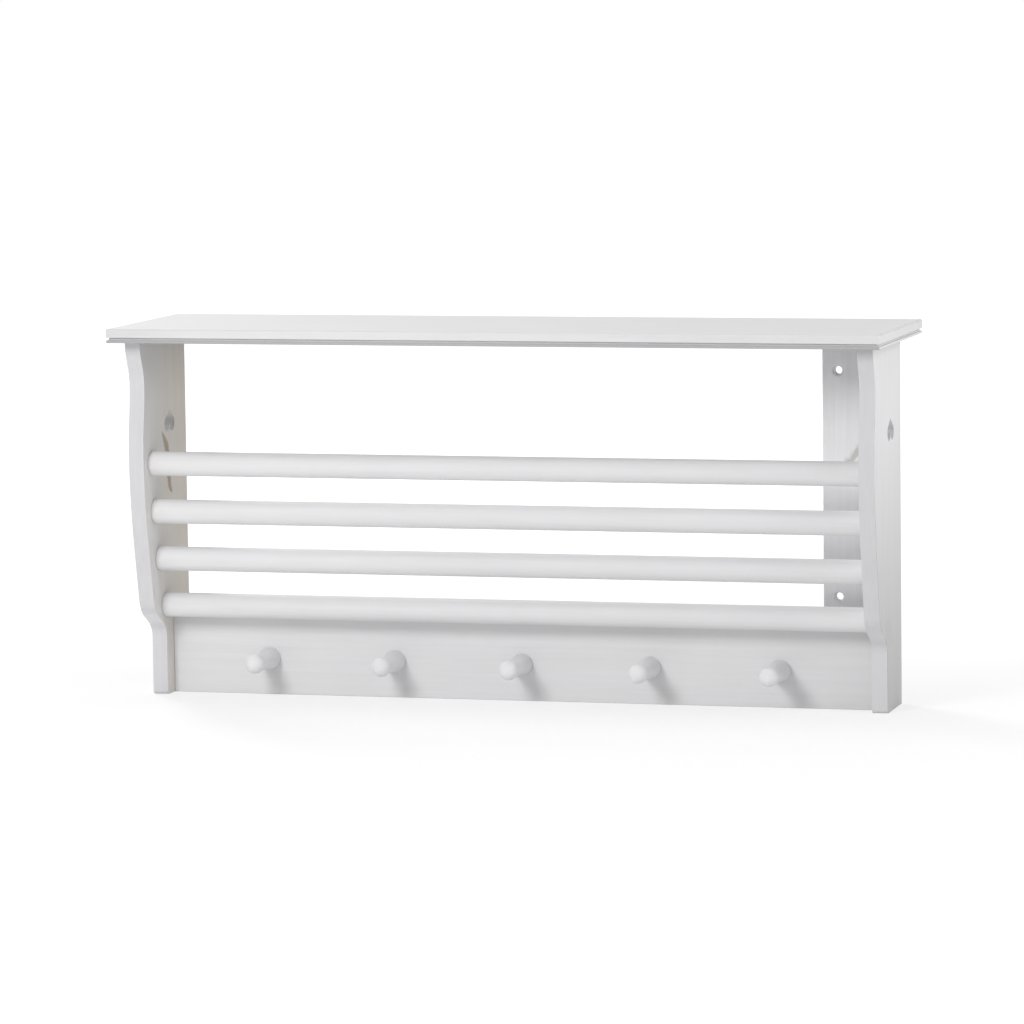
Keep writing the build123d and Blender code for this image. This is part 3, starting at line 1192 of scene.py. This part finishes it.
def rail_stations():
    """A rail is full to within a hair of the panels, where its edge is eased."""
    half = [(0.0, rail_radius)]
    half.append((panel_inner - shoulder_run, rail_radius))
    for step in range(1, shoulder_steps + 1):
        turn = math.radians(90 * step / shoulder_steps)
        drop = (rail_radius - shoulder_radius) * (1 - math.cos(turn))
        half.append((panel_inner - shoulder_run * (1 - math.sin(turn)), rail_radius - drop))
    half.append((rail_half, shoulder_radius))
    return [(-along, radius) for along, radius in reversed(half[1:])] + half


rails = turning("rails", (1, 0, 0), rail_stations())
run_tree(
    rails,
    rack,
    **{
        "Rails": 4,
        "Top rail": (0, front + 54 * mm, 244.5 * mm),
        "Bottom rail": (0, front + 88.5 * mm, 94.5 * mm),
        "Straightness": 0.33,
        "Paint": rail_paint,
    },
)
rails = plain_mesh(rails, "rails")
settle(rails, "rail_1", "rail_2", "rail_3", "rail_4")

# %% [markdown]
# ## The row of pegs
#
# Five pegs stand at equal distances. Their tree is simpler than that of the rails: a
# straight line, with a peg on each of its points. Each peg also gets a turn of its own
# about its axis, as it would when it is glued in.

# %% Build the peg tree
peg_row = bpy.data.node_groups.new("row of pegs", "GeometryNodeTree")
sockets(peg_row, "INPUT", "Geometry", "Start")
sockets(peg_row, "INPUT", "Int", "Pegs")
sockets(peg_row, "INPUT", "Vector", "First peg", "Last peg")
sockets(peg_row, "INPUT", "Int", "Seed")
sockets(peg_row, "INPUT", "Material", "Paint")
sockets(peg_row, "OUTPUT", "Geometry", "Row")
row_in = add(peg_row, "NodeGroupInput")
row_out = add(peg_row, "NodeGroupOutput")
row_line = add(peg_row, "GeometryNodeMeshLine", mode="END_POINTS")
wire(peg_row, row_in, "Pegs", row_line, "Count")
wire(peg_row, row_in, "First peg", row_line, "Start Location")
wire(peg_row, row_in, "Last peg", row_line, "Offset")
one_peg = add(peg_row, "GeometryNodeGroup", node_tree=lathe)
wire(peg_row, row_in, "Start", one_peg, "Axis")
peg_turn = add(peg_row, "FunctionNodeRandomValue", data_type="FLOAT_VECTOR")
peg_turn.inputs["Min"].default_value = (0, 0, 0)
peg_turn.inputs["Max"].default_value = (0, 6.28, 0)
wire(peg_row, row_in, "Seed", peg_turn, "Seed")
row_stand = stand_and_paint(peg_row, row_in, row_line, one_peg, row_out)
wire(peg_row, peg_turn, "Value", row_stand, "Rotation")
print("peg tree has", len(peg_row.nodes), "nodes")

# %% [markdown]
# ## One peg
#
# A peg has a wide foot that sits on the board, a waist, and a round knob that a coat
# can't slip off. Half a cosine wave narrows the foot to the waist, and the knob is a
# part of a circle.

# %% Turn the pegs
peg_base_radius = 11.5 * mm
peg_neck_radius = 7.5 * mm
knob_radius = 9.75 * mm
peg_reach = 50 * mm
peg_height = 38 * mm
peg_steps = 25
let_in = 2 * mm
hidden_ease = 0.6 * mm
rim_ease = 0.4 * mm
tip_radius = 0.02 * mm


def peg_stations():
    """Foot, waist and knob, out from the board, which the foot is let into."""
    rise = math.sqrt(knob_radius**2 - peg_neck_radius**2)
    neck = peg_reach - rise
    stations = [(-let_in, peg_base_radius - hidden_ease)]
    stations.append((0.0, peg_base_radius - rim_ease))
    for step in range(1, peg_steps):
        share = step / peg_steps
        ease = (1 - math.cos(math.pi * share)) / 2
        radius = peg_base_radius + (peg_neck_radius - peg_base_radius) * ease
        stations.append((neck * share, radius))
    first = math.atan2(peg_neck_radius, -rise)
    for step in range(peg_steps):
        turn = first * (1 - step / peg_steps)
        along = peg_reach + knob_radius * math.cos(turn)
        stations.append((along, knob_radius * math.sin(turn)))
    stations.append((peg_reach + knob_radius, tip_radius))
    return stations


pegs = turning("turned_pegs", (0, -1, 0), peg_stations())
run_tree(
    pegs,
    peg_row,
    **{
        "Pegs": 5,
        "First peg": (-267 * mm, board_front, peg_height),
        "Last peg": (273 * mm, board_front, peg_height),
        "Seed": 3,
        "Paint": peg_paint,
    },
)
pegs = plain_mesh(pegs, "turned_pegs")
settle(pegs, "pegs")
